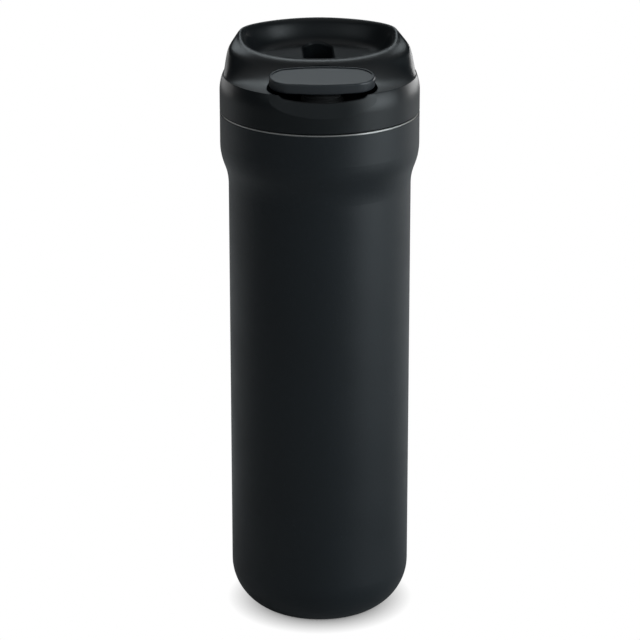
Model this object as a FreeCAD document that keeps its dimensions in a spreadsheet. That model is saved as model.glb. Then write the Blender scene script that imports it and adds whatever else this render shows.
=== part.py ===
import FreeCAD, Part
import math
import os
import re
import Sketcher
from FreeCAD import Placement, Rotation, Vector

# Insulated travel tumbler with a screw-in lid and a press-to-drink button.
# Millimetres. Origin at the centre of the base, +Z up, the button faces -Y,
# the drinking side is +Y. Heights named *_level are above the base.

doc = FreeCAD.newDocument("Tumbler")

SIZES = [
    # vessel
    ("body_radius", 33.5, "outer radius of the straight body"),
    ("collar_radius", 36.5, "outer radius of the collar and of the lid"),
    ("lip_level", 194.0, "top of the steel lip"),
    ("steel_gauge", 0.7, "outer wall"),
    ("liner_gauge", 0.6, "inner wall"),
    ("liner_radius", 29.6, "inside radius of the liner"),
    ("liner_floor_level", 6.0, "underside of the liner's floor"),
    ("liner_corner", 12.0, "inside radius of the liner's bottom corner"),
    ("mouth_radius", 31.8, "inside radius of the threaded mouth"),
    ("land_radius", 31.2, "bore that the lid's gasket seals against"),
    ("land_level", 179.3, "top of that bore"),
    ("mouth_foot_level", 172.4, "where the mouth narrows to the liner"),
    ("mouth_cone_depth", 3.8, "height of that narrowing"),
    ("ring_level", 0.5, "underside of the steel base ring"),
    ("corner_big", 18.5, "upper arc of the base corner"),
    ("corner_small", 5.0, "lower arc of the base corner"),
    ("corner_turn", 57.0, "degrees turned by the upper arc"),
    ("flare_top_level", 182.0, "top of the S-curve below the collar"),
    ("flare_depth", 15.5, "height of the S-curve"),
    ("pad_radius", 21.2, "silicone base pad"),
    ("disc_radius", 22.3, "steel base disc"),
    # screw thread
    ("thread_lead", 11.0, "rise per turn, two starts"),
    ("thread_height", 0.8, "ridge on the vessel's mouth"),
    ("thread_foot", 2.0, "width of a ridge at its root"),
    ("thread_crest", 1.0, "width of a ridge at its top"),
    ("thread_level", 182.8, "start of the vessel's ridges"),
    ("thread_run", 7.0, "height climbed by each ridge"),
    ("thread_offset", 1.8, "lid ridge below vessel ridge"),
    ("plug_thread_height", 1.15, "ridge on the lid's plug"),
    # lid
    ("seam_level", 194.3, "underside of the lid"),
    ("band_height", 7.2, "straight part of the lid's band"),
    ("ridge_height", 13.3, "crease round the lid, above the seam"),
    ("ridge_radius", 35.0, "radius of that crease"),
    ("ridge_step", 0.3, "ledge left outside the crease"),
    ("shell_bore", 34.0, "inside radius of the band"),
    ("bowl_floor", 17.5, "bowl floor above the seam"),
    ("rim_height", 26.0, "rear of the rim above the seam"),
    ("rim_climb", 0.21, "height the rim gains per millimetre from front to rear"),
    ("rim_side_drop", 0.6, "outer edge of the rim below its crest, at the sides"),
    ("rim_rear_drop", 0.35, "outer edge of the rim below its crest, at the rear"),
    ("front_rim_height", 20.2, "front of the rim above the seam"),
    ("rim_half_width", 29.0, "half width of the rim's crest"),
    ("rim_centre", 14.4, "Y of the crest's widest place"),
    ("rim_front_run", 24.0, "crest centre to its front"),
    ("rim_rear_run", 18.9, "crest centre to its rear"),
    ("floor_half_width", 19.5, "half width of the bowl's flat floor"),
    ("floor_centre", 12.5, "Y of that floor's widest place"),
    ("floor_front_run", 14.0, "from there to its front"),
    ("floor_rear_run", 11.5, "from there to its rear"),
    ("shell_wall", 2.0, "thickness under the bowl"),
    ("well_half_width", 5.3, "half width of the drinking well"),
    ("well_front", -1.0, "Y of the well's front end"),
    ("well_rear", 27.0, "Y of the well's rear end"),
    ("well_foot_level", 203.5, "underside of the well's tube"),
    ("well_wall", 1.5, "wall of the well's tube"),
    ("edge_break", 0.6, "chamfer round the well's brink"),
    ("chamber_radius", 20.0, "room for the valve under the bowl"),
    ("chamber_centre", 10.5, "Y of that room's axis"),
    # button recess and scoop
    ("recess_centre", -23.45, "Y of the recess"),
    ("recess_half_width", 19.8, "along X"),
    ("recess_half_depth", 11.5, "along Y"),
    ("recess_side", 38.6, "radius of the long sides"),
    ("recess_floor", 9.4, "recess floor above the seam"),
    ("scoop_axis", 8.0, "Y of the scoop's turning axis"),
    ("scoop_radius", 42.4, "scoop radius at the ridge's height"),
    ("scoop_slope", 0.278, "radius lost per millimetre climbed"),
    # button
    ("button_centre", -22.5, "Y of the button and its plunger"),
        ("button_half_width", 19.0, "along X"),
    ("button_half_depth", 9.5, "along Y"),
    ("button_side", 60.0, "radius of the long sides"),
    ("button_gap", 0.6, "clearance round the cap in its recess"),
    ("button_height", 18.1, "middle of the cap above the seam"),
    ("button_thickness", 3.8, "edge of the cap"),
    ("button_tilt", 6.6, "degrees the cap leans forward"),
    ("button_travel", 3.2, "press depth"),
    ("dish_inset", 1.0, "flat rim round the cap's dish"),
    ("dish_depth", 0.35, "depth of that dish"),
    ("cap_wall", 1.3, "thickness of the cap's skirt"),
    ("cap_crown", 1.5, "thickness of the cap's top"),
    ("cap_rim_round", 0.7, "rounding of the cap's upper edge"),
    ("cap_skirt_round", 0.5, "rounding of the cap's lower edge"),
    ("plunger_radius", 3.0, "button stem"),
    ("cup_radius", 6.0, "inside of the spring cup"),
    ("cup_floor_level", 199.2, "bottom of the spring cup"),
    ("cup_wall", 1.6, "wall of the spring cup"),
    ("cup_floor_wall", 1.8, "thickness of its floor"),
    ("boss_level", 208.6, "underside of the plunger's flange"),
    ("foot_level", 195.7, "foot of the plunger"),
    ("flange_reach", 7.4, "radius of the plunger's flange"),
    ("boot_radius", 7.6, "outer radius of the boot"),
    ("spring_radius", 4.9, "mean radius of the button spring"),
    ("spring_wire", 0.45, "wire radius"),
    # plug and valve
    ("plug_radius", 30.3, "outside of the plug's skirt"),
    ("plug_wall", 2.0, "plug wall"),
    ("plug_foot_level", 176.3, "underside of the skirt"),
    ("plug_floor_level", 183.8, "top of the plug's floor"),
    ("flange_level", 194.6, "underside of the plug's flange"),
    ("flange_radius", 33.7, "outer radius of the flange"),
    ("flange_height", 4.0, "thickness of the flange"),
    ("groove_level", 177.3, "lower edge of the gasket's groove"),
    ("groove_height", 2.4, "height of that groove"),
    ("groove_radius", 29.1, "bottom of that groove"),
    ("gasket_radius", 30.9, "tips of the gasket's lips"),
    ("seal_wire", 0.85, "section radius of the shell seal"),
    ("port_centre", 17.0, "Y of the drinking port"),
    ("port_radius", 7.0, "port in the plug's floor"),
    ("seat_height", 0.8, "raised seat round the port"),
    ("stem_radius", 2.0, "stopper stem"),
    ("running_gap", 0.05, "clearance of a sliding stem"),
    ("vent_across", 14.0, "X of the vent valve"),
    ("vent_along", -12.0, "Y of the vent valve"),
    ("pivot_centre", -2.75, "Y of the rocker's pin"),
    ("pivot_level", 192.0, "height of the pin"),
    ("pin_radius", 1.5, "rocker pin"),
    ("ear_offset", 8.0, "X of the pin ears' middle"),
    ("rocker_arm_length", 19.75, "pin to each end"),
    ("prong_level", 190.4, "height of the rocker's prongs at rest"),
]

sheet = doc.addObject("Spreadsheet::Sheet", "Sizes")
for row, (alias, amount, note) in enumerate(SIZES, start=1):
    sheet.set(f"A{row}", note)
    sheet.set(f"B{row}", str(amount))
    sheet.setAlias(f"B{row}", alias)
doc.recompute()


# ---------------------------------------------------------------- helpers

def linked(text):
    """Write each size name in a formula as a reference to the sheet."""
    return re.sub(r"\b([a-z]+(?:_[a-z]+)+)\b", r"Sizes.\1", str(text))


def value(text):
    """The number that a formula of size names stands for."""
    return float(sheet.evalExpression(str(text)))


def new_body(label):
    """A sub-part: its label names its node."""
    body = doc.addObject("PartDesign::Body", label)
    body.Label = label
    return body


def new_sketch(body, name, plane="XZ_Plane", lift="0"):
    """A sketch on one of the body's origin planes, lifted along the plane's normal."""
    sketch = body.newObject("Sketcher::SketchObject", f"{body.Name}_{name}")
    support = [item for item in body.Origin.OriginFeatures if item.Role == plane][0]
    sketch.AttachmentSupport = [(support, "")]
    sketch.MapMode = "FlatFace"
    sketch.setExpression(".AttachmentOffset.Base.z", linked(lift))
    return sketch


def bind(sketch, constraint, formula):
    """Add a dimension and tie it to the sheet."""
    index = sketch.addConstraint(constraint)
    sketch.setExpression(f"Constraints[{index}]", linked(formula))


def place_vertex(sketch, edge, end, across, up):
    """Fix a corner by its two coordinates."""
    for kind, axis, formula in (("DistanceX", -2, across), ("DistanceY", -1, up)):
        amount = value(formula)
        if abs(amount) < 1e-9:
            sketch.addConstraint(Sketcher.Constraint("PointOnObject", edge, end, axis))
        else:
            bind(sketch, Sketcher.Constraint(kind, -1, 1, edge, end, amount), formula)


def arc_through(start, end, radius, turn):
    """The short arc between two corners that turns left or right on the way."""
    chord = end - start
    left = Vector(-chord.y, chord.x, 0).normalize()
    rise = math.sqrt(max(radius ** 2 - (chord.Length / 2) ** 2, 0.0))
    side = 1 if turn == "left" else -1
    centre = start + chord * 0.5 + left * (rise * side)
    first, last = (start, end) if turn == "left" else (end, start)
    begin = math.atan2(first.y - centre.y, first.x - centre.x)
    finish = math.atan2(last.y - centre.y, last.x - centre.x)
    circle = Part.Circle(centre, Vector(0, 0, 1), radius)
    return Part.ArcOfCircle(circle, begin, finish)


def outline(sketch, steps):
    """Draw a closed outline whose corners and arc radii follow the sheet.

    A step is (across, up) for a straight edge to that corner, or
    (across, up, radius, turn) for an arc to it.
    """
    corners = [Vector(value(step[0]), value(step[1]), 0) for step in steps]
    ends = []
    for index, step in enumerate(steps):
        start, end = corners[index - 1], corners[index]
        if len(step) == 2:
            edge = sketch.addGeometry(Part.LineSegment(start, end), False)
            ends.append((edge, 1, 2))
        else:
            arc = arc_through(start, end, value(step[2]), step[3])
            edge = sketch.addGeometry(arc, False)
            ends.append((edge, 1, 2) if step[3] == "left" else (edge, 2, 1))
    for index, step in enumerate(steps):
        edge, _, last = ends[index]
        following, first, _ = ends[(index + 1) % len(steps)]
        sketch.addConstraint(Sketcher.Constraint("Coincident", edge, last, following, first))
        place_vertex(sketch, edge, last, step[0], step[1])
        if len(step) == 4:
            bind(sketch, Sketcher.Constraint("Radius", edge, value(step[2])), step[2])
    return sketch


def ring(sketch, across, up, radius):
    """Draw a circle."""
    centre = Vector(value(across), value(up), 0)
    edge = sketch.addGeometry(Part.Circle(centre, Vector(0, 0, 1), value(radius)), False)
    place_vertex(sketch, edge, 3, across, up)
    bind(sketch, Sketcher.Constraint("Radius", edge, value(radius)), radius)
    return sketch


def turn_about_z(body, sketch, cut=False):
    """Revolve an outline about its own vertical axis, as material or as a cut."""
    kind = "PartDesign::Groove" if cut else "PartDesign::Revolution"
    feature = body.newObject(kind, f"{sketch.Name}_turned")
    feature.Profile = sketch
    feature.ReferenceAxis = (sketch, ["V_Axis"])
    feature.Angle = 360
    return feature


def raise_up(body, sketch, height, cut=False):
    """Pad or pocket an outline along its plane's normal."""
    kind = "PartDesign::Pocket" if cut else "PartDesign::Pad"
    feature = body.newObject(kind, f"{sketch.Name}_{'cut' if cut else 'pad'}")
    feature.Profile = sketch
    feature.setExpression("Length", linked(height))
    feature.Reversed = cut
    return feature


def turned_part(label, *outlines):
    """A body of revolution about Z from one or more outlines."""
    body = new_body(label)
    for number, steps in enumerate(outlines):
        turn_about_z(body, outline(new_sketch(body, f"profile{number}"), steps))
    return body


def plate(body, name, level, height, steps, cut=False):
    """A prism on a level plane."""
    sketch = outline(new_sketch(body, name, "XY_Plane", level), steps)
    return raise_up(body, sketch, height, cut)


def rod(body, name, level, height, across, up, radius, cut=False):
    """A vertical cylinder or round hole."""
    sketch = ring(new_sketch(body, name, "XY_Plane", level), across, up, radius)
    return raise_up(body, sketch, height, cut)


def dress_edges(body, name, kind, dimension, size, wanted):
    """Dress the edges of the body's last feature that pass a test."""
    base = body.Tip
    names = [f"Edge{number}" for number, edge in enumerate(base.Shape.Edges, start=1) if wanted(edge)]
    dressing = body.newObject(f"PartDesign::{kind}", f"{body.Name}_{name}")
    dressing.Base = (base, names)
    dressing.setExpression(dimension, linked(size))
    doc.recompute()


def break_edges(body, name, size, wanted):
    """Chamfer some edges."""
    dress_edges(body, name, "Chamfer", "Size", size, wanted)


def round_edges(body, name, radius, wanted):
    """Fillet some edges."""
    dress_edges(body, name, "Fillet", "Radius", radius, wanted)


# ---------------------------------------------------------------- vessel

def corner_steps(inset):
    """The base corner and S-curve, inset from the outer surface by a wall thickness."""
    turn = "corner_turn"
    big = f"(corner_big - {inset})"
    small = f"(corner_small - {inset})"
    centre_across = f"(body_radius - corner_big + (corner_big - corner_small) * cos({turn}))"
    small_level = "(ring_level + corner_small)"
    big_level = f"({small_level} + (corner_big - corner_small) * sin({turn}))"
    half = "(flare_depth / 2)"
    rise = "((collar_radius - body_radius) / 2)"
    sweep = f"(({half}^2 + {rise}^2) / (2 * {rise}))"
    return {
        "foot": (centre_across, f"ring_level + {inset}"),
        "knee": (f"{centre_across} + {small} * cos({turn})",
                 f"{small_level} - {small} * sin({turn})", small, "left"),
        "wall_foot": (f"body_radius - {inset}", big_level, big, "left"),
        "wall_top": (f"body_radius - {inset}", "flare_top_level - flare_depth"),
        "s_middle": (f"body_radius + {rise} - {inset} * ({sweep} - {rise}) / {sweep}",
                     f"flare_top_level - {half} + {inset} * {half} / {sweep}",
                     f"({sweep} + {inset})", "right"),
        "s_top": (f"collar_radius - {inset}", "flare_top_level",
                  f"({sweep} - {inset})", "left"),
    }


def reversed_steps(steps):
    """The same corners and arcs walked the other way, without the first corner."""
    swap = {"left": "right", "right": "left"}
    walked = []
    for index in range(len(steps) - 1, 0, -1):
        corner, step = steps[index - 1], steps[index]
        arc = (step[2], swap[step[3]]) if len(step) == 4 else ()
        walked.append((corner[0], corner[1]) + arc)
    return walked


def make_outer_shell():
    outside = list(corner_steps("0").values())
    inside = list(corner_steps("steel_gauge").values())
    top_level = "lip_level - 0.5"
    steps = [("pad_radius + 0.6", "ring_level")] + outside
    steps += [("collar_radius", top_level), ("collar_radius - steel_gauge", top_level)]
    steps += [(inside[-1][0], inside[-1][1])] + reversed_steps(inside)
    steps += [("pad_radius + 0.6", "ring_level + steel_gauge")]
    return turned_part("outer_shell", steps)


def make_inner_liner():
    outer = "(liner_radius + liner_gauge)"
    mouth = "(mouth_radius + liner_gauge)"
    floor = "(liner_floor_level + liner_gauge)"
    bend = "(liner_corner + liner_gauge)"
    flange = "(collar_radius - 0.25)"
    cone_foot = "(mouth_foot_level - mouth_cone_depth)"
    steps = [
        ("0", "liner_floor_level"),
        ("liner_radius - liner_corner", "liner_floor_level"),
        (outer, f"liner_floor_level + {bend}", bend, "left"),
        (outer, cone_foot),
        (mouth, "mouth_foot_level"),
        (mouth, "lip_level - 0.5"),
        (flange, "lip_level - 0.5"),
        (flange, "lip_level"),
        ("mouth_radius + 0.6", "lip_level"),
        ("mouth_radius", "lip_level - 0.6", "0.6", "left"),
        ("mouth_radius", "land_level + 0.6"),
        ("land_radius", "land_level"),
        ("land_radius", "mouth_foot_level + 0.2"),
        ("liner_radius", f"{cone_foot} + 0.2"),
        ("liner_radius", f"{floor} + liner_corner"),
        ("liner_radius - liner_corner", floor, "liner_corner", "right"),
        ("0", floor),
    ]
    body = turned_part("inner_liner", steps)
    add_thread(body, "mouth_radius", "-thread_height", "thread_level", "liner_gauge / 2")
    return body


def add_thread(body, root, height, start, overlap):
    """Two helical ridges on a wall: height is negative for ridges that stand inwards."""
    sign = -1 if value(height) < 0 else 1
    crest = f"({root} + {height})"
    foot = f"({root} - {overlap})" if sign > 0 else f"({root} + {overlap})"
    steps = [
        (foot, f"{start} - thread_foot / 2"),
        (crest, f"{start} - thread_crest / 2"),
        (crest, f"{start} + thread_crest / 2"),
        (foot, f"{start} + thread_foot / 2"),
    ]
    sketch = outline(new_sketch(body, "ridge"), steps)
    helix = body.newObject("PartDesign::AdditiveHelix", f"{body.Name}_ridge_helix")
    helix.Profile = sketch
    helix.ReferenceAxis = (sketch, ["V_Axis"])
    helix.Mode = "pitch-height-angle"
    helix.setExpression("Pitch", linked("thread_lead"))
    helix.setExpression("Height", linked("thread_run"))
    doc.recompute()
    pair = body.newObject("PartDesign::PolarPattern", f"{body.Name}_ridge_pair")
    pair.Originals = [helix]
    pair.Axis = (sketch, ["V_Axis"])
    pair.Angle = 360
    pair.Occurrences = 2
    body.Tip = pair


def make_base_parts():
    """Steel base disc with its dimple, the solder bead in it, the getter and the pad."""
    top = "(ring_level + 2 * steel_gauge)"
    low = "(ring_level + steel_gauge)"
    turned_part("base_disc", [
        ("1", f"{low} + 1.5"),
        ("3.5", f"{low} + 1.5"),
        ("4.5", low),
        ("disc_radius", low),
        ("disc_radius", top),
        ("4.2", top),
        ("3.2", f"{top} + 1.5"),
        ("1", f"{top} + 1.5"),
    ])
    turned_part("seal_bead", [
        ("0", f"{low} + 0.2"),
        ("2.6", f"{low} + 1.2", "3.9", "left"),
        ("2.6", f"{low} + 1.5"),
        ("0", f"{low} + 1.5"),
    ])
    getter = new_body("getter")
    rod(getter, "puck", "liner_floor_level - 1.6", "1.6", "12", "0", "3.5")
    turned_part("base_pad", [
        ("0", "0"),
        ("pad_radius - 3.2", "0"),
        ("pad_radius - 2.8", "0.4"),
        ("pad_radius - 2.4", "0.4"),
        ("pad_radius - 2", "0"),
        ("pad_radius - 0.4", "0"),
        ("pad_radius", "0.4", "0.4", "left"),
        ("pad_radius", low),
        ("0", low),
    ])


def make_foil():
    """Copper foil wrapped round the liner to turn back radiant heat."""
    wrap = "(liner_radius + liner_gauge + 0.05)"
    turned_part("radiation_foil", [
        (wrap, "24"),
        (f"{wrap} + 0.15", "24"),
        (f"{wrap} + 0.15", "160"),
        (wrap, "160"),
    ])



# ---------------------------------------------------------------- lid shell

RING_POINTS = 32


def smooth_step(low, high, amount):
    """0 below low, 1 above high, eased between."""
    share = min(max((amount - low) / (high - low), 0.0), 1.0)
    return share * share * (3 - 2 * share)


def rounded_loop(angle, half_width, centre, front_run, rear_run, front_power, rear_power):
    """A point of a plan loop whose front and rear halves are superellipses, and its outward normal."""
    across, along = math.cos(angle), math.sin(angle)
    run, power = (front_run, front_power) if along < 0 else (rear_run, rear_power)
    share_x = abs(across) ** (2 / power)
    share_y = abs(along) ** (2 / power)
    point = Vector(math.copysign(half_width * share_x, across),
                   centre + math.copysign(run * share_y, along), 0)
    normal = Vector(math.copysign(share_x ** (power - 1) / half_width, across),
                    math.copysign(share_y ** (power - 1) / run, along), 0)
    return point, normal.normalize()


def crest_height(along):
    """The rim climbs from front to rear, then runs level."""
    front = value("rim_centre - rim_front_run")
    return min(value("front_rim_height") + value("rim_climb") * (along - front), value("rim_height"))


def reach_to_ridge(point, heading):
    """Distance along a heading from a plan point to the crease's circle."""
    forward = point.dot(heading)
    return math.sqrt(forward ** 2 + value("ridge_radius") ** 2 - point.Length ** 2) - forward


def lid_section(angle):
    """Control points from the crease, up the wall and over the lip to the bowl's floor."""
    crest, outward = rounded_loop(angle, value("rim_half_width"), value("rim_centre"),
                                  value("rim_front_run"), value("rim_rear_run"), 2.5, 1.75)
    middle, _ = rounded_loop(angle, value("floor_half_width"), value("floor_centre"),
                             value("floor_front_run"), value("floor_rear_run"), 2.3, 2.0)
    inward = middle - crest
    reach = reach_to_ridge(crest, outward)
    top = crest_height(crest.y)
    drop = blend(value("rim_side_drop"), value("rim_rear_drop"), smooth_step(12.0, 25.0, crest.y))
    edge = top - drop
    base, floor = value("ridge_height"), value("bowl_floor")
    bowl = top - floor
    # at the front a hollow deck rises to the lip
    shoulder = min(0.75 * reach, 3.2)
    run = reach - shoulder
    foot = top - 1.9
    deck = [(reach - run * share, base + (foot - base) * share ** 2.2) for share in (0.3, 0.62, 0.88)]
    deck += [(shoulder, foot), (0.7 * shoulder, top - 0.7)]
    # at the sides and rear an upright wall turns over a shoulder
    wall = [(reach - min(0.35, 0.2 * reach), base + 0.25 * (edge - base)),
            (reach - min(0.75, 0.36 * reach), base + 0.58 * (edge - base)),
            (reach - min(1.25, 0.5 * reach), edge - 2.0),
            (reach - min(2.1, 0.7 * reach), edge),
            (0.16 * reach, edge + 0.1)]
    upright = smooth_step(-0.85, -0.3, outward.y)
    points = [(crest + outward * reach, base)]
    for (hollow_reach, hollow_level), (wall_reach, wall_level) in zip(deck, wall):
        points.append((crest + outward * blend(hollow_reach, wall_reach, upright),
                       blend(hollow_level, wall_level, upright)))
    points.append((crest, top + 0.3))
    # the lip is broad at the front and narrow at the sides
    narrow = [(0.19, top - 0.6), (0.34, top - 0.42 * bowl), (0.56, floor + 0.1 * bowl), (0.8, floor)]
    broad = [(0.3, top + 0.25), (0.52, top - 0.1), (0.62, floor + 0.3 * bowl), (0.8, floor)]
    frontal = smooth_step(0.35, 0.95, -outward.y)
    for (side_share, side_level), (front_share, front_level) in zip(narrow, broad):
        points.append((crest + inward * blend(side_share, front_share, frontal),
                       blend(side_level, front_level, frontal)))
    points.append((middle, floor - 0.1))
    seam = value("seam_level")
    return [Vector(plan.x, plan.y, seam + level) for plan, level in points]


def blend(first, second, share):
    """A value between two others."""
    return first + (second - first) * share


def lid_top_solid():
    """The moulded top: one smooth cubic surface from the crease to the bowl's floor."""
    step = 2 * math.pi / RING_POINTS
    widen = 3 / (2 + math.cos(step))
    sections = [lid_section(step * index) for index in range(RING_POINTS)]
    poles = []
    for level in range(len(sections[0])):
        row = [section[level] for section in sections]
        middle = sum(row, Vector()) * (1 / len(row))
        poles.append([Vector(middle.x + (pole.x - middle.x) * widen,
                             middle.y + (pole.y - middle.y) * widen, pole.z) for pole in row])
    spans = len(poles) - 3
    along_knots = list(range(spans + 1))
    along_counts = [4] + [1] * (spans - 1) + [4]
    round_knots = list(range(RING_POINTS + 1))
    round_counts = [1] * (RING_POINTS + 1)
    surface = Part.BSplineSurface()
    surface.buildFromPolesMultsKnots(poles, along_counts, round_counts, along_knots,
                                     round_knots, False, True, 3, 3)
    skin = surface.toShape()
    level_edges = [edge for edge in skin.Edges if edge.BoundBox.ZLength < 0.01]
    caps = [Part.Face(Part.Wire([edge])) for edge in level_edges]
    solid = Part.Solid(Part.Shell([skin] + caps))
    solid.fix(1e-5, 1e-5, 1e-3)
    return solid


def lid_blank_solid():
    """The moulded top on the round band."""
    seam = value("seam_level")
    outer, ridge = value("collar_radius"), value("ridge_radius + ridge_step")
    low, high = value("band_height"), value("ridge_height")
    drop, inset = high - low, outer - ridge
    sweep = (drop ** 2 + inset ** 2) / (2 * inset)
    half = math.asin(drop / sweep) / 2
    middle = Vector(outer - sweep * (1 - math.cos(half)), 0, seam + low + sweep * math.sin(half))
    chamfer = 0.3
    corners = [Vector(0, 0, seam), Vector(outer - chamfer, 0, seam), Vector(outer, 0, seam + chamfer),
               Vector(outer, 0, seam + low), Vector(ridge, 0, seam + high), Vector(0, 0, seam + high)]
    edges = [Part.LineSegment(corners[index], corners[index + 1]).toShape() for index in (0, 1, 2, 4)]
    edges.insert(3, Part.Arc(corners[3], middle, corners[4]).toShape())
    edges.append(Part.LineSegment(corners[5], corners[0]).toShape())
    band = Part.Face(Part.Wire(edges)).revolve(Vector(), Vector(0, 0, 1), 360)
    return band.fuse(lid_top_solid()).removeSplitter()


def oval_steps(centre, half_width, half_depth, side):
    """A rounded lozenge: long sides of a large radius joined by tangent end arcs."""
    end = f"(({half_width}^2 + {half_depth}^2 - 2 * {side} * {half_depth}) / (2 * ({half_width} - {side})))"
    share = f"(({half_width} - {end}) / ({side} - {end}))"
    across = f"({side} * {share})"
    rise = f"({half_depth} - {side} + {side} * ({side} - {half_depth}) / ({side} - {end}))"
    return [
        (across, f"{centre} - {rise}", side, "left"),
        (across, f"{centre} + {rise}", end, "left"),
        (f"-{across}", f"{centre} + {rise}", side, "left"),
        (f"-{across}", f"{centre} - {rise}", end, "left"),
    ]


def slot_steps(half_width, front, rear):
    """A straight slot along Y with round ends."""
    return [
        (half_width, f"{front} + {half_width}", half_width, "left"),
        (half_width, f"{rear} - {half_width}"),
        ("0", rear, half_width, "left"),
        (f"-{half_width}", f"{rear} - {half_width}", half_width, "left"),
        (f"-{half_width}", f"{front} + {half_width}"),
        ("0", front, half_width, "left"),
    ]


def make_lid_shell():
    blank = doc.addObject("Part::Feature", "lid_blank")
    blank.Shape = lid_blank_solid()
    body = new_body("lid_shell")
    body.BaseFeature = blank
    doc.recompute()
    ceiling = "(bowl_floor - shell_wall)"
    recess_level = "(seam_level + recess_floor)"
    # the hollow for the plug, then the room for the valve
    rod(body, "bore", "seam_level", "recess_floor - 2.4", "0", "0", "shell_bore", cut=True)
    rod(body, "chamber", "seam_level", ceiling, "0", "chamber_centre", "chamber_radius", cut=True)
    # the well's tube, hanging into the chamber
    wide = "(well_half_width + well_wall)"
    plate(body, "well_tube", "well_foot_level", f"seam_level + {ceiling} + 0.2 - well_foot_level",
          slot_steps(wide, "(well_front - well_wall)", "(well_rear + well_wall)"))
    plate(body, "well", "well_foot_level", "rim_height + 5",
          slot_steps("well_half_width", "well_front", "well_rear"), cut=True)
    # the button's recess, open to the scoop in front
    plate(body, "recess", recess_level, "rim_height",
          oval_steps("recess_centre", "recess_half_width", "recess_half_depth", "recess_side"), cut=True)
    plate(body, "button_room", recess_level, "rim_height",
          oval_steps("button_centre", "(button_half_width + button_gap)", "(button_half_depth + button_gap)",
                     "(button_side + button_gap)"), cut=True)
    # the spring cup below the recess floor
    rod(body, "cup", "cup_floor_level - cup_floor_wall",
        f"{recess_level} - 0.5 - cup_floor_level + cup_floor_wall",
        "0", "button_centre", "cup_radius + cup_wall")
    rod(body, "cup_bore", "cup_floor_level", "rim_height", "0", "button_centre", "cup_radius", cut=True)
    rod(body, "guide", "cup_floor_level - 5", "10", "0", "button_centre",
        "plunger_radius + running_gap", cut=True)
    # the thumb scoop: a shallow cone turned about an axis behind the lid's own
    scoop = new_sketch(body, "scoop", lift="-scoop_axis")
    outline(scoop, [
        (scoop_reach("5"), "seam_level + 5"),
        ("scoop_radius + 12", "seam_level + 5"),
        ("scoop_radius + 12", "seam_level + 16"),
        (scoop_reach("16"), "seam_level + 16"),
    ])
    turn_about_z(body, scoop, cut=True)
    doc.recompute()
    brink = value("seam_level + bowl_floor - 0.3")
    tube_side = value("well_half_width + 0.1")
    reach_back = value("well_rear + 0.1")
    break_edges(body, "well_brink", "edge_break", lambda edge: edge.BoundBox.ZMin > brink
                and max(-edge.BoundBox.XMin, edge.BoundBox.XMax) < tube_side
                and value("well_front - 0.1") < edge.BoundBox.YMin < edge.BoundBox.YMax < reach_back)


def scoop_reach(height):
    """Scoop radius at a height above the seam."""
    return f"scoop_radius + scoop_slope * (ridge_height - {height})"



# ---------------------------------------------------------------- plug and seals

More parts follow.
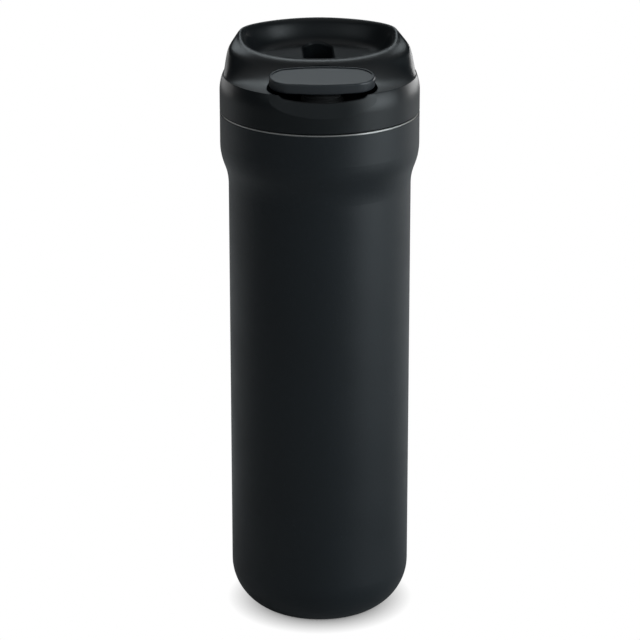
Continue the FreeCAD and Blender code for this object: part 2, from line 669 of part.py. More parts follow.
def make_lid_plug():
    bore = "(plug_radius - plug_wall)"
    floor_foot = "plug_floor_level - plug_wall"
    seal_bed = "flange_radius - 1.5"
    body = turned_part("lid_plug", [
        ("0", floor_foot),
        (bore, floor_foot),
        (bore, "plug_foot_level"),
        ("plug_radius", "plug_foot_level"),
        ("plug_radius", "groove_level"),
        ("groove_radius", "groove_level"),
        ("groove_radius", "groove_level + groove_height"),
        ("plug_radius", "groove_level + groove_height"),
        ("plug_radius", "flange_level"),
        ("flange_radius", "flange_level"),
        ("flange_radius", "flange_level + 1.1"),
        (seal_bed, "flange_level + 1.1"),
        (seal_bed, "flange_level + 2.9"),
        ("flange_radius", "flange_level + 2.9"),
        ("flange_radius", "flange_level + flange_height"),
        (bore, "flange_level + flange_height"),
        (bore, "plug_floor_level"),
        ("0", "plug_floor_level"),
    ])
    # drinking port with its raised seat and the spider that guides the stem
    rod(body, "seat", "plug_floor_level - 0.2", "seat_height + 0.2", "0", "port_centre", "port_radius + 1.2")
    rod(body, "port", "plug_foot_level", "12", "0", "port_centre", "port_radius", cut=True)
    for number in range(3):
        angle = math.radians(90 + 120 * number)
        along, side = (math.cos(angle), math.sin(angle)), (-math.sin(angle), math.cos(angle))
        corners = []
        for reach, half in ((2.8, -0.6), (7.6, -0.6), (7.6, 0.6), (2.8, 0.6)):
            across = along[0] * reach + side[0] * half
            depth = along[1] * reach + side[1] * half
            corners.append((f"{across:.4f}", f"port_centre + {depth:.4f}"))
        plate(body, f"rib{number}", "plug_floor_level - plug_wall", "1.6", corners)
    rod(body, "hub", "plug_floor_level - 3.6", "3.4", "0", "port_centre", "stem_radius + 1.8")
    rod(body, "hub_bore", "plug_foot_level", "12", "0", "port_centre",
        "stem_radius + running_gap", cut=True)
    # room for the lid shell's spring cup in the flange
    rod(body, "cup_room", "cup_floor_level - cup_floor_wall - 0.3", "10", "0", "button_centre",
        "cup_radius + cup_wall + 0.25", cut=True)
    # ears for the rocker's pin
    for side in (-1, 1):
        name = "ear_left" if side < 0 else "ear_right"
        sketch = new_sketch(body, name, "YZ_Plane", f"{side} * ear_offset - 1.2")
        outline(sketch, [
            ("pivot_centre + 3", "plug_floor_level - 0.2"),
            ("pivot_centre + 3", "pivot_level"),
            ("pivot_centre", "pivot_level + 3", "3", "left"),
            ("pivot_centre - 3", "pivot_level", "3", "left"),
            ("pivot_centre - 3", "plug_floor_level - 0.2"),
        ])
        raise_up(body, sketch, "2.4")
    pin_hole = new_sketch(body, "pin_hole", "YZ_Plane", "-12")
    raise_up(body, ring(pin_hole, "pivot_centre", "pivot_level", "pin_radius"), "24", cut=True)
    # vent: a hole for the valve's stem and four air holes round it
    rod(body, "vent", "plug_foot_level", "12", "vent_across", "vent_along", "1.2", cut=True)
    for number in range(4):
        angle = math.radians(45 + 90 * number)
        rod(body, f"air{number}", "plug_foot_level", "12", f"vent_across + {2.5 * math.cos(angle):.4f}",
            f"vent_along + {2.5 * math.sin(angle):.4f}", "0.7", cut=True)
    add_thread(body, "plug_radius", "plug_thread_height", "thread_level - thread_offset", "0.4")


def make_seals():
    shell_seal = doc.addObject("Part::Torus", "shell_seal")
    shell_seal.Label = "shell_seal"
    shell_seal.setExpression("Radius1", linked("shell_bore - 0.05 - seal_wire"))
    shell_seal.setExpression("Radius2", linked("seal_wire"))
    shell_seal.setExpression(".Placement.Base.z", linked("flange_level + 2"))
    low, gap, core = "(groove_level + 0.1)", "0.15", "plug_radius + 0.1"
    turned_part("main_gasket", [
        (f"groove_radius + {gap}", low),
        (core, low),
        ("gasket_radius", f"{low} + 0.25"),
        (core, f"{low} + 0.75"),
        (core, f"{low} + 1.45"),
        ("gasket_radius", f"{low} + 1.7"),
        (core, f"{low} + 2.2"),
        (f"groove_radius + {gap}", f"{low} + 2.2"),
    ])
    vent_valve = new_body("vent_valve")
    profile = new_sketch(vent_valve, "profile")
    foot, top = "plug_floor_level - plug_wall", "plug_floor_level"
    outline(profile, [
        ("0", f"{foot} - 1.1"),
        ("2", f"{foot} - 1"),
        ("4", f"{foot} - 0.4"),
        ("4", foot),
        ("1.2", foot),
        ("1.2", top),
        ("1.9", top),
        ("0.9", f"{top} + 1.8"),
        ("0", f"{top} + 1.8"),
    ])
    turn_about_z(vent_valve, profile)
    vent_valve.setExpression(".Placement.Base.x", linked("vent_across"))
    vent_valve.setExpression(".Placement.Base.y", linked("vent_along"))


def make_pin():
    pin = doc.addObject("Part::Cylinder", "rocker_pin")
    pin.Label = "rocker_pin"
    pin.setExpression("Radius", linked("pin_radius"))
    pin.setExpression("Height", linked("2 * ear_offset + 2.8"))
    pin.Placement = Placement(Vector(), Rotation(Vector(0, 1, 0), 90))
    pin.setExpression(".Placement.Base.x", linked("-ear_offset - 1.4"))
    pin.setExpression(".Placement.Base.y", linked("pivot_centre"))
    pin.setExpression(".Placement.Base.z", linked("pivot_level"))


# ---------------------------------------------------------------- button

def cap_outline(inset):
    """The cap's plan, moved in from its outer edge."""
    return oval_steps("0", f"(button_half_width - {inset})", f"(button_half_depth - {inset})",
                      f"(button_side - {inset})")


def make_button_cap():
    """The cap is drawn level, its top face at Z = 0, then leaned forward into place."""
    body = new_body("button_cap")
    plate(body, "slab", "-button_thickness", "button_thickness", cap_outline("0"))
    plate(body, "dish", "-dish_depth", "1", cap_outline("dish_inset"), cut=True)
    plate(body, "hollow", "-button_thickness", "button_thickness - cap_crown",
          cap_outline("cap_wall"), cut=True)
    doc.recompute()
    outermost = value("button_half_width") - 0.01

    def on_outside(edge):
        long_side = edge.Curve.TypeId == "Part::GeomCircle" and (
            abs(edge.Curve.Radius - value("button_side")) < 1e-3)
        return long_side or edge.BoundBox.XMax > outermost or edge.BoundBox.XMin < -outermost

    round_edges(body, "rim", "cap_rim_round",
                lambda edge: on_outside(edge) and abs(edge.BoundBox.ZMin) < 1e-4)
    round_edges(body, "skirt", "cap_skirt_round",
                lambda edge: on_outside(edge) and abs(edge.BoundBox.ZMax + value("button_thickness")) < 1e-4)
    tilt = Rotation(Vector(1, 0, 0), value("button_tilt"))
    body.Placement = Placement(Vector(0, value("button_centre"), value("seam_level + button_height")), tilt)


def make_button_parts():
    """Plunger with its flange, its retaining clip, the return spring and the boot."""
    turned_part("button_plunger", [
        ("0", "foot_level"),
        ("plunger_radius - 0.5", "foot_level"),
        ("plunger_radius", "foot_level + 0.5"),
        ("plunger_radius", "boss_level"),
        ("flange_reach", "boss_level"),
        ("flange_reach", "boss_level + 1.1"),
        ("plunger_radius", "boss_level + 1.1"),
        ("plunger_radius", "boss_level + 1.8"),
        ("0", "boss_level + 1.8"),
    ])
    clip_level = "(cup_floor_level - cup_floor_wall - 0.8)"
    move_forward(turned_part("plunger_clip", [
        ("plunger_radius", clip_level),
        ("plunger_radius + 2", clip_level),
        ("plunger_radius + 2", f"{clip_level} + 0.7"),
        ("plunger_radius", f"{clip_level} + 0.7"),
    ]))
    move_forward(doc.getObject("button_plunger"))
    spring = new_body("button_spring")
    coil = ring(new_sketch(spring, "wire"), "spring_radius",
                "cup_floor_level + spring_wire + 0.05", "spring_wire")
    helix = spring.newObject("PartDesign::AdditiveHelix", "button_spring_coil")
    helix.Profile = coil
    helix.ReferenceAxis = (coil, ["V_Axis"])
    helix.Mode = "height-turns-growth"
    helix.setExpression("Height", linked("boss_level - cup_floor_level - 2 * spring_wire - 0.1"))
    helix.Turns = 5
    move_forward(spring)
    low = "(seam_level + recess_floor + 0.05)"
    boot = turned_part("button_boot", [
        ("cup_radius + 0.4", low),
        ("boot_radius", low),
        ("boot_radius", f"{low} + 0.7"),
        ("boot_radius - 0.9", f"{low} + 1.3"),
        ("boot_radius", f"{low} + 2.5"),
        ("boot_radius - 0.9", f"{low} + 3.7"),
        ("boot_radius", f"{low} + 4.3"),
        ("boot_radius", "boss_level - 0.05"),
        ("cup_radius + 0.4", "boss_level - 0.05"),
        ("cup_radius + 0.4", f"{low} + 4.1"),
        ("cup_radius + 0.2", f"{low} + 3.7"),
        ("boot_radius - 0.75", f"{low} + 2.5"),
        ("cup_radius + 0.2", f"{low} + 1.3"),
        ("cup_radius + 0.4", f"{low} + 0.9"),
    ])
    move_forward(boot)


def move_forward(part):
    """Set a turned piece on the button's axis."""
    part.setExpression(".Placement.Base.y", linked("button_centre"))


# ---------------------------------------------------------------- rocker and stopper

def make_rocker():
    """Drawn level with its pin at the origin, then leaned so the button's end stands high."""
    body = new_body("rocker_arm")
    reach = "rocker_arm_length"
    hub = ring(new_sketch(body, "hub", "YZ_Plane", "-6.6"), "0", "0", "pin_radius + 1.7")
    raise_up(body, hub, "13.2")
    front_pad = ring(new_sketch(body, "pad", "YZ_Plane", "-3"), f"-{reach}", "0", "2")
    raise_up(body, front_pad, "6")
    plate(body, "bar", "-1.5", "3",
          [("2.5", f"-{reach}"), ("2.5", "0"), ("-2.5", "0"), ("-2.5", f"-{reach}")])
    plate(body, "yoke", "-1.3", "2.6", [("4.6", "0"), ("4.6", "10"), ("-4.6", "10"), ("-4.6", "0")])
    for side in (-1, 1):
        name = "left" if side < 0 else "right"
        inner, outer = f"{side} * 2.4", f"{side} * 4.6"
        plate(body, f"prong_{name}", "-1.1", "2.2",
              [(outer, "9"), (outer, reach), (inner, reach), (inner, "9")])
        end = new_sketch(body, f"end_{name}", "YZ_Plane", "2.4" if side > 0 else "-4.6")
        raise_up(body, ring(end, reach, "0", "1.5"), "2.2")
    bore = ring(new_sketch(body, "bore", "YZ_Plane", "-8"), "0", "0", "pin_radius + running_gap")
    raise_up(body, bore, "16", cut=True)
    lean = math.degrees(math.asin(value("button_travel / 2") / value(reach)))
    body.Placement = Placement(Vector(0, value("pivot_centre"), value("pivot_level")),
                               Rotation(Vector(1, 0, 0), -lean))


def make_stopper():
    seat = "(plug_floor_level + seat_height + 0.05)"
    stem = turned_part("stopper_stem", [
        ("0", f"{seat} - 6"),
        ("stem_radius - 0.5", f"{seat} - 6"),
        ("stem_radius", f"{seat} - 5.5"),
        ("stem_radius", f"{seat} + 1.5"),
        ("port_radius + 2", f"{seat} + 1.5"),
        ("port_radius + 2", f"{seat} + 3"),
        ("5.2", f"{seat} + 3"),
        ("5.2", "prong_level - 1.6"),
        ("stem_radius", "prong_level - 1.6"),
        ("stem_radius", "prong_level + 4.6"),
        ("0", "prong_level + 4.6"),
    ])
    seal = turned_part("stopper_seal", [
        ("stem_radius", seat),
        ("port_radius + 1.5", seat),
        ("port_radius + 2", f"{seat} + 0.5"),
        ("port_radius + 2", f"{seat} + 1.5"),
        ("stem_radius", f"{seat} + 1.5"),
    ])
    clip = turned_part("stem_clip", [
        ("stem_radius", "prong_level + 1.6"),
        ("5.2", "prong_level + 1.6"),
        ("5.2", "prong_level + 2.4"),
        ("stem_radius", "prong_level + 2.4"),
    ])
    for part in (stem, seal, clip):
        part.setExpression(".Placement.Base.y", linked("port_centre"))


# ---------------------------------------------------------------- build and write

def write_parts():
    """Check every object and write each sub-part."""
    doc.recompute()
    for item in doc.Objects:
        if "Invalid" in item.State or "Error" in item.State:
            raise RuntimeError(f"{item.Name} failed: {item.State}")
    inside_bodies = {inner.Name for body in doc.findObjects("PartDesign::Body") for inner in body.Group}
    os.makedirs("parts", exist_ok=True)
    for item in doc.Objects:
        is_piece = item.isDerivedFrom("PartDesign::Body") or item.TypeId in ("Part::Torus", "Part::Cylinder")
        if not is_piece or item.Name in inside_bodies:
            continue
        shape = item.Shape
        if shape.isNull() or not shape.isValid():
            raise RuntimeError(f"{item.Label} has no valid shape")
        shape.exportStep(f"parts/{item.Label}.step")
        print(f"{item.Label}: {len(shape.Solids)} solid, {shape.Volume:.0f} cubic mm")


for make in (make_outer_shell, make_inner_liner, make_base_parts, make_foil, make_lid_shell,
             make_lid_plug, make_seals, make_pin, make_button_cap, make_button_parts,
             make_rocker, make_stopper):
    make()
write_parts()
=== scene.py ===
import math

import bmesh
import bpy
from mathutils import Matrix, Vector


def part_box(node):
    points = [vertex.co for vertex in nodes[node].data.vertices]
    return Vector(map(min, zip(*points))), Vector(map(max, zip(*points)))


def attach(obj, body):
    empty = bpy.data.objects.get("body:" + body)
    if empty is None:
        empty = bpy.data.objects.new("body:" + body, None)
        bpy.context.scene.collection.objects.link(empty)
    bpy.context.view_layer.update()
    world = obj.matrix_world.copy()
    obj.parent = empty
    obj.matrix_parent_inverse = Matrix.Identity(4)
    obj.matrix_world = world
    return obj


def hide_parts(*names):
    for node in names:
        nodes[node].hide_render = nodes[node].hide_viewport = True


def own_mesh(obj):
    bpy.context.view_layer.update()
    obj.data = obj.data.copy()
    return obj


# Studio view of an insulated tumbler: black powder-coated steel, satin black lid with a button.
# Metres. The frame gives every place; the finishes are node materials read in object space.

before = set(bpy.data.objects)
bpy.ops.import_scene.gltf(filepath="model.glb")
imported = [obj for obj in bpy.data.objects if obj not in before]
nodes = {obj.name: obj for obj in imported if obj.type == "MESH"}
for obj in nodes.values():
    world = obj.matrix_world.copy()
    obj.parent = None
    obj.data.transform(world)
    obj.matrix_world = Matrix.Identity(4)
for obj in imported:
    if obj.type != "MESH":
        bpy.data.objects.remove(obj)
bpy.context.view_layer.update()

MM = 0.001
WHITE = (1.0, 1.0, 1.0)
COOL = (0.87, 0.96, 1.0)


# ---------------------------------------------------------------- camera, floor and lights

def make_camera():
    """A long lens, a little to the left of the object and looking down on it."""
    azimuth = math.radians(-2.2)
    pitch = math.radians(19.167)
    distance, height = 1.0577, 0.4801
    data = bpy.data.cameras.new("camera")
    data.lens = 168.4
    data.sensor_width = 36.0
    data.shift_x = 0.0005
    data.clip_end = 50.0
    camera = bpy.data.objects.new("camera", data)
    camera.location = (distance * math.sin(azimuth), -distance * math.cos(azimuth), height)
    camera.rotation_euler = (math.pi / 2 - pitch, 0.0, azimuth)
    bpy.context.scene.collection.objects.link(camera)
    bpy.context.scene.camera = camera


def make_light(name, place, aim, size, power, colour):
    """A soft rectangular light that faces a point."""
    data = bpy.data.lights.new(name, "AREA")
    data.shape = "RECTANGLE"
    data.size, data.size_y = size
    data.energy = power
    data.color = colour
    light = bpy.data.objects.new(name, data)
    light.location = place
    light.rotation_euler = (Vector(aim) - Vector(place)).to_track_quat("-Z", "Y").to_euler()
    light.visible_camera = False
    bpy.context.scene.collection.objects.link(light)


def output_by_ray(tree, output_kind, unseen, seen):
    """Finish a node tree: one shader for camera rays, another for all other rays."""
    path = tree.nodes.new("ShaderNodeLightPath")
    mix = tree.nodes.new("ShaderNodeMixShader")
    output = tree.nodes.new(output_kind)
    tree.links.new(path.outputs["Is Camera Ray"], mix.inputs["Fac"])
    tree.links.new(unseen.outputs[0], mix.inputs[1])
    tree.links.new(seen.outputs[0], mix.inputs[2])
    tree.links.new(mix.outputs[0], output.inputs["Surface"])


def contact_shadow(tree):
    """White light from the floor that dims close to whatever stands on it.

    The gamma is below 1, which keeps the shadow pale.
    """
    shadow_reach, shadow_gamma = 8 * MM, 0.5
    contact = tree.nodes.new("ShaderNodeAmbientOcclusion")
    contact.inputs["Distance"].default_value = shadow_reach
    soften = tree.nodes.new("ShaderNodeGamma")
    soften.inputs["Gamma"].default_value = shadow_gamma
    glow = tree.nodes.new("ShaderNodeEmission")
    tree.links.new(contact.outputs["Color"], soften.inputs["Color"])
    tree.links.new(soften.outputs["Color"], glow.inputs["Color"])
    return glow


def fading_white(tree):
    """A diffuse floor with a painted pool of light, for all rays but the camera's: grey in front,
    nearly white just behind the object, dull far behind it.
    """
    whites_behind = ((0.0, 0.5), (0.12, 0.95), (0.42, 0.95), (0.62, 0.25))
    place = tree.nodes.new("ShaderNodeTexCoord")
    split = tree.nodes.new("ShaderNodeSeparateXYZ")
    fade = tree.nodes.new("ShaderNodeValToRGB")
    stops = fade.color_ramp.elements
    while len(stops) < len(whites_behind):
        stops.new(0.5)
    for stop, (metres, white) in zip(stops, whites_behind):
        stop.position = metres
        stop.color = (white, white, white, 1)
    diffuse = tree.nodes.new("ShaderNodeBsdfDiffuse")
    tree.links.new(place.outputs["Object"], split.inputs["Vector"])
    tree.links.new(split.outputs["Y"], fade.inputs["Fac"])
    tree.links.new(fade.outputs["Color"], diffuse.inputs["Color"])
    return diffuse


def make_stage():
    """A floor that looks white with a soft contact shadow, and is duller in reflections."""
    half = 1.4
    mesh = bpy.data.meshes.new("floor")
    corners = [(-half, -half, 0), (half, -half, 0), (half, half, 0), (-half, half, 0)]
    mesh.from_pydata(corners, [], [(0, 1, 2, 3)])
    floor = bpy.data.objects.new("floor", mesh)
    bpy.context.scene.collection.objects.link(floor)
    material = bpy.data.materials.new("floor")
    material.use_nodes = True
    tree = material.node_tree
    tree.nodes.clear()
    output_by_ray(tree, "ShaderNodeOutputMaterial", fading_white(tree), contact_shadow(tree))
    mesh.materials.append(material)


def make_world():
    """A white surround to look at, which lights the object only faintly."""
    world = bpy.data.worlds.new("studio")
    world.use_nodes = True
    tree = world.node_tree
    tree.nodes.clear()
    faint = tree.nodes.new("ShaderNodeBackground")
    faint.inputs["Color"].default_value = (0.9, 0.96, 1, 1)
    faint.inputs["Strength"].default_value = 0.05
    white = tree.nodes.new("ShaderNodeBackground")
    white.inputs["Color"].default_value = (*WHITE, 1)
    output_by_ray(tree, "ShaderNodeOutputWorld", faint, white)
    bpy.context.scene.world = world


def make_lights():
    """A key on the right, one high behind for the lid's top, low ones behind, and fills."""
    foot = (0.0, 0.0, 0.08)
    lid_top = (0.0, 0.0, 0.2)
    lights = (
        # name, place, aim, size, power in watts, colour
        ("overhead", (0.0, 0.3, 2.2), foot, (2.4, 2.4), 5.0, WHITE),
        ("right_key", (1.05, -0.45, 0.08), foot, (0.9, 0.9), 10.6, COOL),
        ("right_high", (0.95, -0.75, 0.8), lid_top, (0.5, 0.4), 3.2, COOL),
        ("left_high", (-0.95, -0.75, 0.8), lid_top, (0.8, 0.6), 1.0, COOL),
        ("rear_right", (0.85, 0.95, 0.2), foot, (0.9, 0.4), 3.8, WHITE),
        ("rear_left", (-0.8, 1.0, 0.2), foot, (0.9, 0.4), 1.3, WHITE),
        ("rear_high", (0.0, 1.5, 1.55), lid_top, (0.8, 0.6), 4.5, COOL),
        ("front_fill", (-0.3, -1.7, 1.0), foot, (2.0, 1.4), 3.2, COOL),
    )
    for light in lights:
        make_light(*light)


# ---------------------------------------------------------------- node materials

# In the colour form of the Mix node, its two colours and its result have these socket numbers.
FIRST_COLOUR, SECOND_COLOUR, MIXED_COLOUR = 6, 7, 2

# A noise feature is about this share of one cell of the noise.
FEATURE_SHARE = 0.7


def shade(colour, factor):
    """A colour made lighter or darker, with full opacity."""
    return tuple(channel * factor for channel in colour) + (1.0,)


class Finish:
    """A material under construction: one shader, object coordinates and a few node helpers."""

    def __init__(self, name, **constants):
        self.material = bpy.data.materials.new(name)
        self.material.use_nodes = True
        self.tree = self.material.node_tree
        self.shader = self.tree.nodes["Principled BSDF"]
        for socket, amount in constants.items():
            self.shader.inputs[socket.replace("_", " ")].default_value = amount
        self.place = self.add("ShaderNodeTexCoord").outputs["Object"]

    def add(self, kind, settings=(), **inputs):
        """A node with its settings, and its inputs given as numbers or as sockets to link."""
        node = self.tree.nodes.new(kind)
        for key, setting in dict(settings).items():
            setattr(node, key, setting)
        for key, source in inputs.items():
            self.feed(node.inputs[key.replace("_", " ")], source)
        return node

    def feed(self, socket, source):
        """Link a socket to another one, or set it to a number or colour."""
        if isinstance(source, bpy.types.NodeSocket):
            self.tree.links.new(source, socket)
        else:
            socket.default_value = source

    def give(self, name, source):
        """Link a socket to one of the shader's inputs."""
        self.tree.links.new(source, self.shader.inputs[name])

    def grain(self, size, detail=2.0, rough=0.5, place=None):
        """Noise whose features are about that size."""
        node = self.add("ShaderNodeTexNoise", Vector=place or self.place,
                        Scale=FEATURE_SHARE / size, Detail=detail, Roughness=rough)
        return node.outputs["Fac"]

    def pebbles(self, size):
        """Rounded cells about that size, for moulded and sintered surfaces."""
        node = self.add("ShaderNodeTexVoronoi", {"feature": "SMOOTH_F1"}, Vector=self.place,
                        Scale=1.0 / size, Smoothness=0.6)
        return node.outputs["Distance"]

    def turned_place(self):
        """Coordinates that change only with height and radius, for marks left by turning."""
        split = self.add("ShaderNodeSeparateXYZ", Vector=self.place)
        flat = self.add("ShaderNodeCombineXYZ", X=split.outputs["X"], Y=split.outputs["Y"])
        radius = self.add("ShaderNodeVectorMath", {"operation": "LENGTH"})
        self.feed(radius.inputs[0], flat.outputs[0])
        lines = self.add("ShaderNodeCombineXYZ", X=radius.outputs["Value"], Y=split.outputs["Z"])
        return lines.outputs[0]

    def spread(self, source, low, high, start=0.3, end=0.7):
        """The source, stretched from start..end to low..high."""
        node = self.add("ShaderNodeMapRange", Value=source, From_Min=start, From_Max=end,
                        To_Min=low, To_Max=high)
        return node.outputs["Result"]

    def blend(self, share, first, second):
        """Two colours, or two patterns, mixed by a share."""
        node = self.add("ShaderNodeMix", {"data_type": "RGBA"})
        self.feed(node.inputs["Factor"], share)
        self.feed(node.inputs[FIRST_COLOUR], first)
        self.feed(node.inputs[SECOND_COLOUR], second)
        return node.outputs[MIXED_COLOUR]

    def shades(self, pattern, colour, low, high, start=0.3, end=0.7):
        """A colour that goes from one shade to another with a pattern."""
        return self.blend(self.spread(pattern, 0.0, 1.0, start, end),
                          shade(colour, low), shade(colour, high))

    def product(self, first, second):
        """Two numbers multiplied."""
        node = self.add("ShaderNodeMath", {"operation": "MULTIPLY"})
        self.feed(node.inputs[0], first)
        self.feed(node.inputs[1], second)
        return node.outputs[0]

    def bump(self, height, depth, strength=1.0, under=None):
        """Surface relief of that depth in metres, on top of another relief."""
        node = self.add("ShaderNodeBump", Height=height, Distance=depth, Strength=strength)
        if under is not None:
            self.feed(node.inputs["Normal"], under)
        return node.outputs["Normal"]

    def soft_edges(self, radius):
        """Normals rounded over that radius at sharp edges."""
        return self.add("ShaderNodeBevel", {"samples": 6}, Radius=radius).outputs["Normal"]

    def edge_wear(self, radius):
        """About 1 on patches of the outer edges and 0 on open surfaces."""
        pointiness = self.add("ShaderNodeNewGeometry").outputs["Pointiness"]
        patches = self.grain(radius * 4, detail=4.0, rough=0.7)
        return self.product(self.spread(pointiness, low=0.0, high=1.0, start=0.53, end=0.62),
                            self.spread(patches, low=0.0, high=1.0, start=0.45, end=0.65))


def powder_coat():
    """Sprayed and baked coating: fine grain over orange peel, a little dust and rubbing."""
    finish = Finish("tumbler_powder_coat", Specular_IOR_Level=0.5)
    colour = (0.0062, 0.0100, 0.0134)
    cloud = finish.grain(30 * MM, detail=3.0)
    speck = finish.grain(0.35 * MM)
    tone = finish.shades(cloud, colour, low=0.9, high=1.12)
    dust = finish.spread(speck, low=0.0, high=1.0, start=0.66, end=0.74)
    finish.give("Base Color", finish.blend(dust, tone, shade(colour, 2.2)))
    rubbed = finish.grain(18 * MM, detail=4.0, rough=0.6)
    finish.give("Roughness", finish.spread(rubbed, low=0.39, high=0.47))
    peel = finish.bump(finish.grain(0.9 * MM), depth=0.02 * MM)
    fine = finish.grain(0.3 * MM, detail=1.0)
    finish.give("Normal", finish.bump(fine, depth=0.006 * MM, under=peel))
    return finish.material


def brushed_steel(name, colour, rough, line=0.12, relief=0.004):
    """Stainless steel with the fine rings of turning; line and relief are in millimetres."""
    finish = Finish(name, Metallic=1.0)
    rings = finish.turned_place()
    lines = finish.grain(line * MM, detail=3.0, rough=0.7, place=rings)
    broad = finish.grain(4 * MM, place=rings)
    smear = finish.grain(14 * MM, detail=3.0)
    finish.give("Base Color", finish.shades(broad, colour, low=0.88, high=1.05))
    smeared = finish.blend(0.4, lines, smear)
    finish.give("Roughness", finish.spread(smeared, low=rough * 0.8, high=rough * 1.3))
    finish.give("Normal", finish.bump(lines, depth=relief * MM))
    return finish.material


def satin_plastic(name, colour, rough, gloss=0.5, wear=0.5, marks=0.03, edge=0.35):
    """Moulded plastic: fine grain, faint fingermarks, edges softened over so many millimetres."""
    finish = Finish(name, Specular_IOR_Level=gloss)
    cloud = finish.grain(12 * MM, detail=3.0)
    tone = finish.shades(cloud, colour, low=0.92, high=1.08)
    worn = finish.product(finish.edge_wear(1.0 * MM), wear)
    finish.give("Base Color", finish.blend(worn, tone, shade(colour, 1.9)))
    touched = finish.grain(8 * MM, rough=0.45)
    finish.give("Roughness", finish.spread(touched, low=rough - marks, high=rough + marks))
    smooth = finish.soft_edges(edge * MM) if edge else None
    waves = finish.bump(finish.grain(9 * MM, detail=1.0), depth=0.02 * MM, under=smooth)
    sparks = finish.grain(0.45 * MM)
    finish.give("Normal", finish.bump(sparks, depth=0.008 * MM, under=waves))
    return finish.material


def silicone(name, colour, rough):
    """Moulded silicone rubber: dull, with a faint bloom and a pebbled skin."""
    finish = Finish(name, Specular_IOR_Level=0.4, Sheen_Weight=0.12, Sheen_Roughness=0.5)
    bloom = finish.grain(6 * MM, detail=4.0, rough=0.6)
    tone = finish.shades(bloom, colour, low=0.88, high=1.15)
    speck = finish.grain(0.5 * MM)
    dust = finish.spread(speck, low=0.0, high=1.0, start=0.64, end=0.72)
    finish.give("Base Color", finish.blend(finish.product(dust, 0.6), tone, shade(colour, 1.6)))
    finish.give("Roughness", finish.spread(bloom, low=rough - 0.06, high=rough + 0.08))
    finish.give("Normal", finish.bump(finish.pebbles(0.45 * MM), depth=0.02 * MM))
    return finish.material


def acetal():
    """Moulded acetal with faint flow lines and slightly softened edges."""
    finish = Finish("tumbler_acetal", Specular_IOR_Level=0.5, Subsurface_Weight=0.05)
    colour = (0.085, 0.086, 0.09)
    flow = finish.grain(5 * MM, detail=4.0, rough=0.6)
    finish.give("Base Color", finish.shades(flow, colour, low=0.85, high=1.15))
    finish.give("Roughness", finish.spread(flow, low=0.3, high=0.42))
    soft = finish.soft_edges(0.2 * MM)
    fine = finish.grain(0.4 * MM)
    finish.give("Normal", finish.bump(fine, depth=0.006 * MM, under=soft))
    return finish.material


def copper_foil():
    """Thin copper foil, creased where it was wrapped."""
    finish = Finish("tumbler_foil", Metallic=1.0)
    colour = (0.78, 0.42, 0.27)
    creases = finish.add("ShaderNodeTexVoronoi", {"feature": "DISTANCE_TO_EDGE"},
                         Vector=finish.place, Scale=1.0 / (9 * MM)).outputs["Distance"]
    stain = finish.grain(20 * MM, detail=4.0, rough=0.6)
    finish.give("Base Color", finish.shades(stain, colour, low=0.75, high=1.05))
    finish.give("Roughness", finish.spread(stain, low=0.18, high=0.34))
    finish.give("Normal", finish.bump(creases, depth=0.3 * MM, strength=0.6))
    return finish.material


def sintered_metal():
    """The getter: a pressed and sintered powder puck."""
    finish = Finish("tumbler_getter", Metallic=0.8)
    colour = (0.36, 0.36, 0.38)
    grains = finish.pebbles(0.25 * MM)
    finish.give("Base Color",
                finish.shades(grains, colour, low=1.1, high=0.6, start=0.1, end=0.6))
    finish.give("Roughness", finish.spread(grains, low=0.5, high=0.7, start=0.1, end=0.6))
    finish.give("Normal", finish.bump(grains, depth=0.05 * MM))
    return finish.material


def solder_glass():
    """The bead of solder glass that seals the vacuum."""
    finish = Finish("tumbler_solder_glass", Coat_Weight=0.4, Coat_Roughness=0.05)
    colour = (0.13, 0.15, 0.17)
    swirl = finish.grain(1.2 * MM, detail=3.0, rough=0.6)
    finish.give("Base Color", finish.shades(swirl, colour, low=0.7, high=1.2))
    finish.give("Roughness", finish.spread(swirl, low=0.12, high=0.3))
    finish.give("Normal", finish.bump(swirl, depth=0.03 * MM))
    return finish.material


FINISHES = {
    "powder_coat": powder_coat(),
    "bare_steel": brushed_steel("tumbler_bare_steel", (0.62, 0.61, 0.59), rough=0.27),
    "base_steel": brushed_steel("tumbler_base_steel", (0.55, 0.55, 0.55), rough=0.36,
                                line=0.2, relief=0.008),
    "spring_steel": brushed_steel("tumbler_spring_steel", (0.58, 0.58, 0.58), rough=0.3,
                                  line=0.1, relief=0.003),
    "solder_glass": solder_glass(),
    "getter_metal": sintered_metal(),
    "foil": copper_foil(),
    "lid_plastic": satin_plastic("tumbler_lid_plastic", (0.0075, 0.0097, 0.0112), rough=0.35,
                                 gloss=0.37),
    "plug_plastic": satin_plastic("tumbler_plug_plastic", (0.03, 0.031, 0.033), rough=0.42),
    # The button's colour is about four times lighter than the lid's black: a painted highlight
    # for the light on the button's top.
    "button_plastic": satin_plastic("tumbler_button_plastic_painted_highlight", (0.03, 0.034, 0.0385), rough=0.28,
                                    wear=0.1, marks=0.006, edge=None),
    "acetal": acetal(),
    "black_silicone": silicone("tumbler_black_silicone", (0.006, 0.006, 0.0065), rough=0.62),
    "grey_silicone": silicone("tumbler_grey_silicone", (0.24, 0.25, 0.26), rough=0.55),
}

for node in nodes.values():
    for slot in node.material_slots:
        slot.material = FINISHES[slot.material.name]


# ---------------------------------------------------------------- pieces squashed by the button

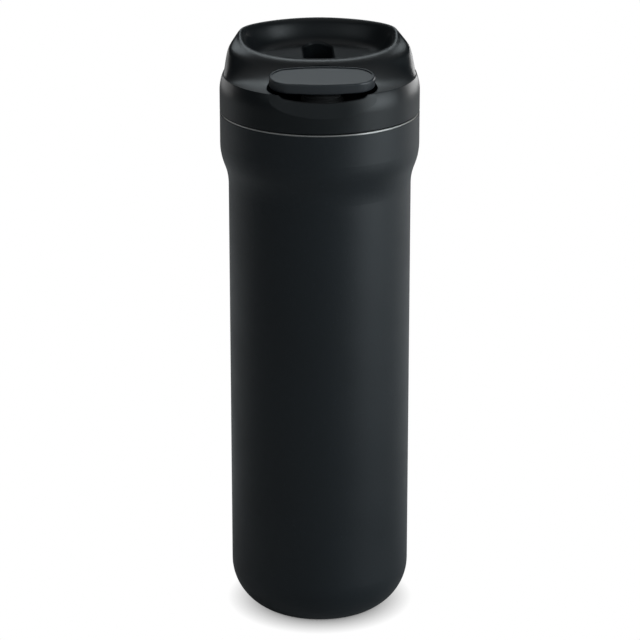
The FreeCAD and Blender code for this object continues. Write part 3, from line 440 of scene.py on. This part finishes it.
def skin(name, rings, closed):
    """A smooth mesh through rings of points, joined end to end or capped."""
    mesh = bmesh.new()
    rows = [[mesh.verts.new(point) for point in ring] for ring in rings]
    following = rows[1:] + rows[:1] if closed else rows[1:]
    for lower, upper in zip(rows, following):
        for step, corner in enumerate(lower):
            mesh.faces.new((lower[step - 1], corner, upper[step], upper[step - 1]))
    if not closed:
        mesh.faces.new(rows[0])
        mesh.faces.new(rows[-1])
    bmesh.ops.recalc_face_normals(mesh, faces=mesh.faces)
    for face in mesh.faces:
        face.smooth = True
    data = bpy.data.meshes.new(name)
    mesh.to_mesh(data)
    mesh.free()
    piece = bpy.data.objects.new(name, data)
    bpy.context.scene.collection.objects.link(piece)
    return piece


def stand_for(piece, node, body, slot):
    """Give a piece its finish and the body it rides, and hide the CAD node it stands in for."""
    piece.data.materials.append(FINISHES[slot])
    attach(piece, body)
    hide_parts(node)


def make_boot():
    """The boot under the button: a bellows with two round folds between a foot and a collar."""
    low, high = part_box("button_boot")
    centre, height, outer = (low + high) / 2, high.z - low.z, (high.x - low.x) / 2
    wall, half_fold = 0.7 * MM, 0.45 * MM
    folds, plain_end = 2, 0.1
    steps_up, steps_round = 32, 64
    turns = [2 * math.pi * step / steps_round for step in range(steps_round)]

    def ring(share, inset):
        folded = min(max((share - plain_end) / (1 - 2 * plain_end), 0.0), 1.0)
        radius = outer - inset - half_fold * (1 - math.cos(2 * math.pi * folds * folded))
        return [(centre.x + radius * math.cos(turn), centre.y + radius * math.sin(turn),
                 low.z + height * share) for turn in turns]

    shares = [step / steps_up for step in range(steps_up + 1)]
    outside = [ring(share, 0.0) for share in shares]
    inside = [ring(share, wall) for share in reversed(shares)]
    boot = skin("boot_bellows", outside + inside, closed=True)
    stand_for(boot, "button_boot", "lid", "black_silicone")
    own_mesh(boot)


def make_spring():
    """The button's spring: five turns of wire, closed up at both ends."""
    low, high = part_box("button_spring")
    centre, outer = (low + high) / 2, (high.x - low.x) / 2
    wire_radius, coils, crowding = 0.45 * MM, 5, 0.6
    steps_along, sides = 200, 12
    coil_radius = outer - wire_radius
    climb = high.z - low.z - 2 * wire_radius
    angles = [2 * math.pi * side / sides for side in range(sides)]
    rings = []
    for step in range(steps_along + 1):
        share = step / steps_along
        turn = 2 * math.pi * coils * share
        closing = crowding * math.sin(2 * math.pi * share) / (2 * math.pi)
        outward = Vector((math.cos(turn), math.sin(turn), 0.0))
        level = low.z + wire_radius + climb * (share - closing)
        middle = Vector((centre.x, centre.y, level)) + outward * coil_radius
        rings.append([middle + wire_radius * (outward * math.cos(angle)
                                              + Vector((0, 0, math.sin(angle))))
                      for angle in angles])
    spring = skin("button_coil", rings, closed=False)
    stand_for(spring, "button_spring", "button", "spring_steel")
    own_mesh(spring)


make_boot()
make_spring()

make_camera()
make_stage()
make_world()
make_lights()
bpy.context.scene.view_settings.view_transform = "Standard"
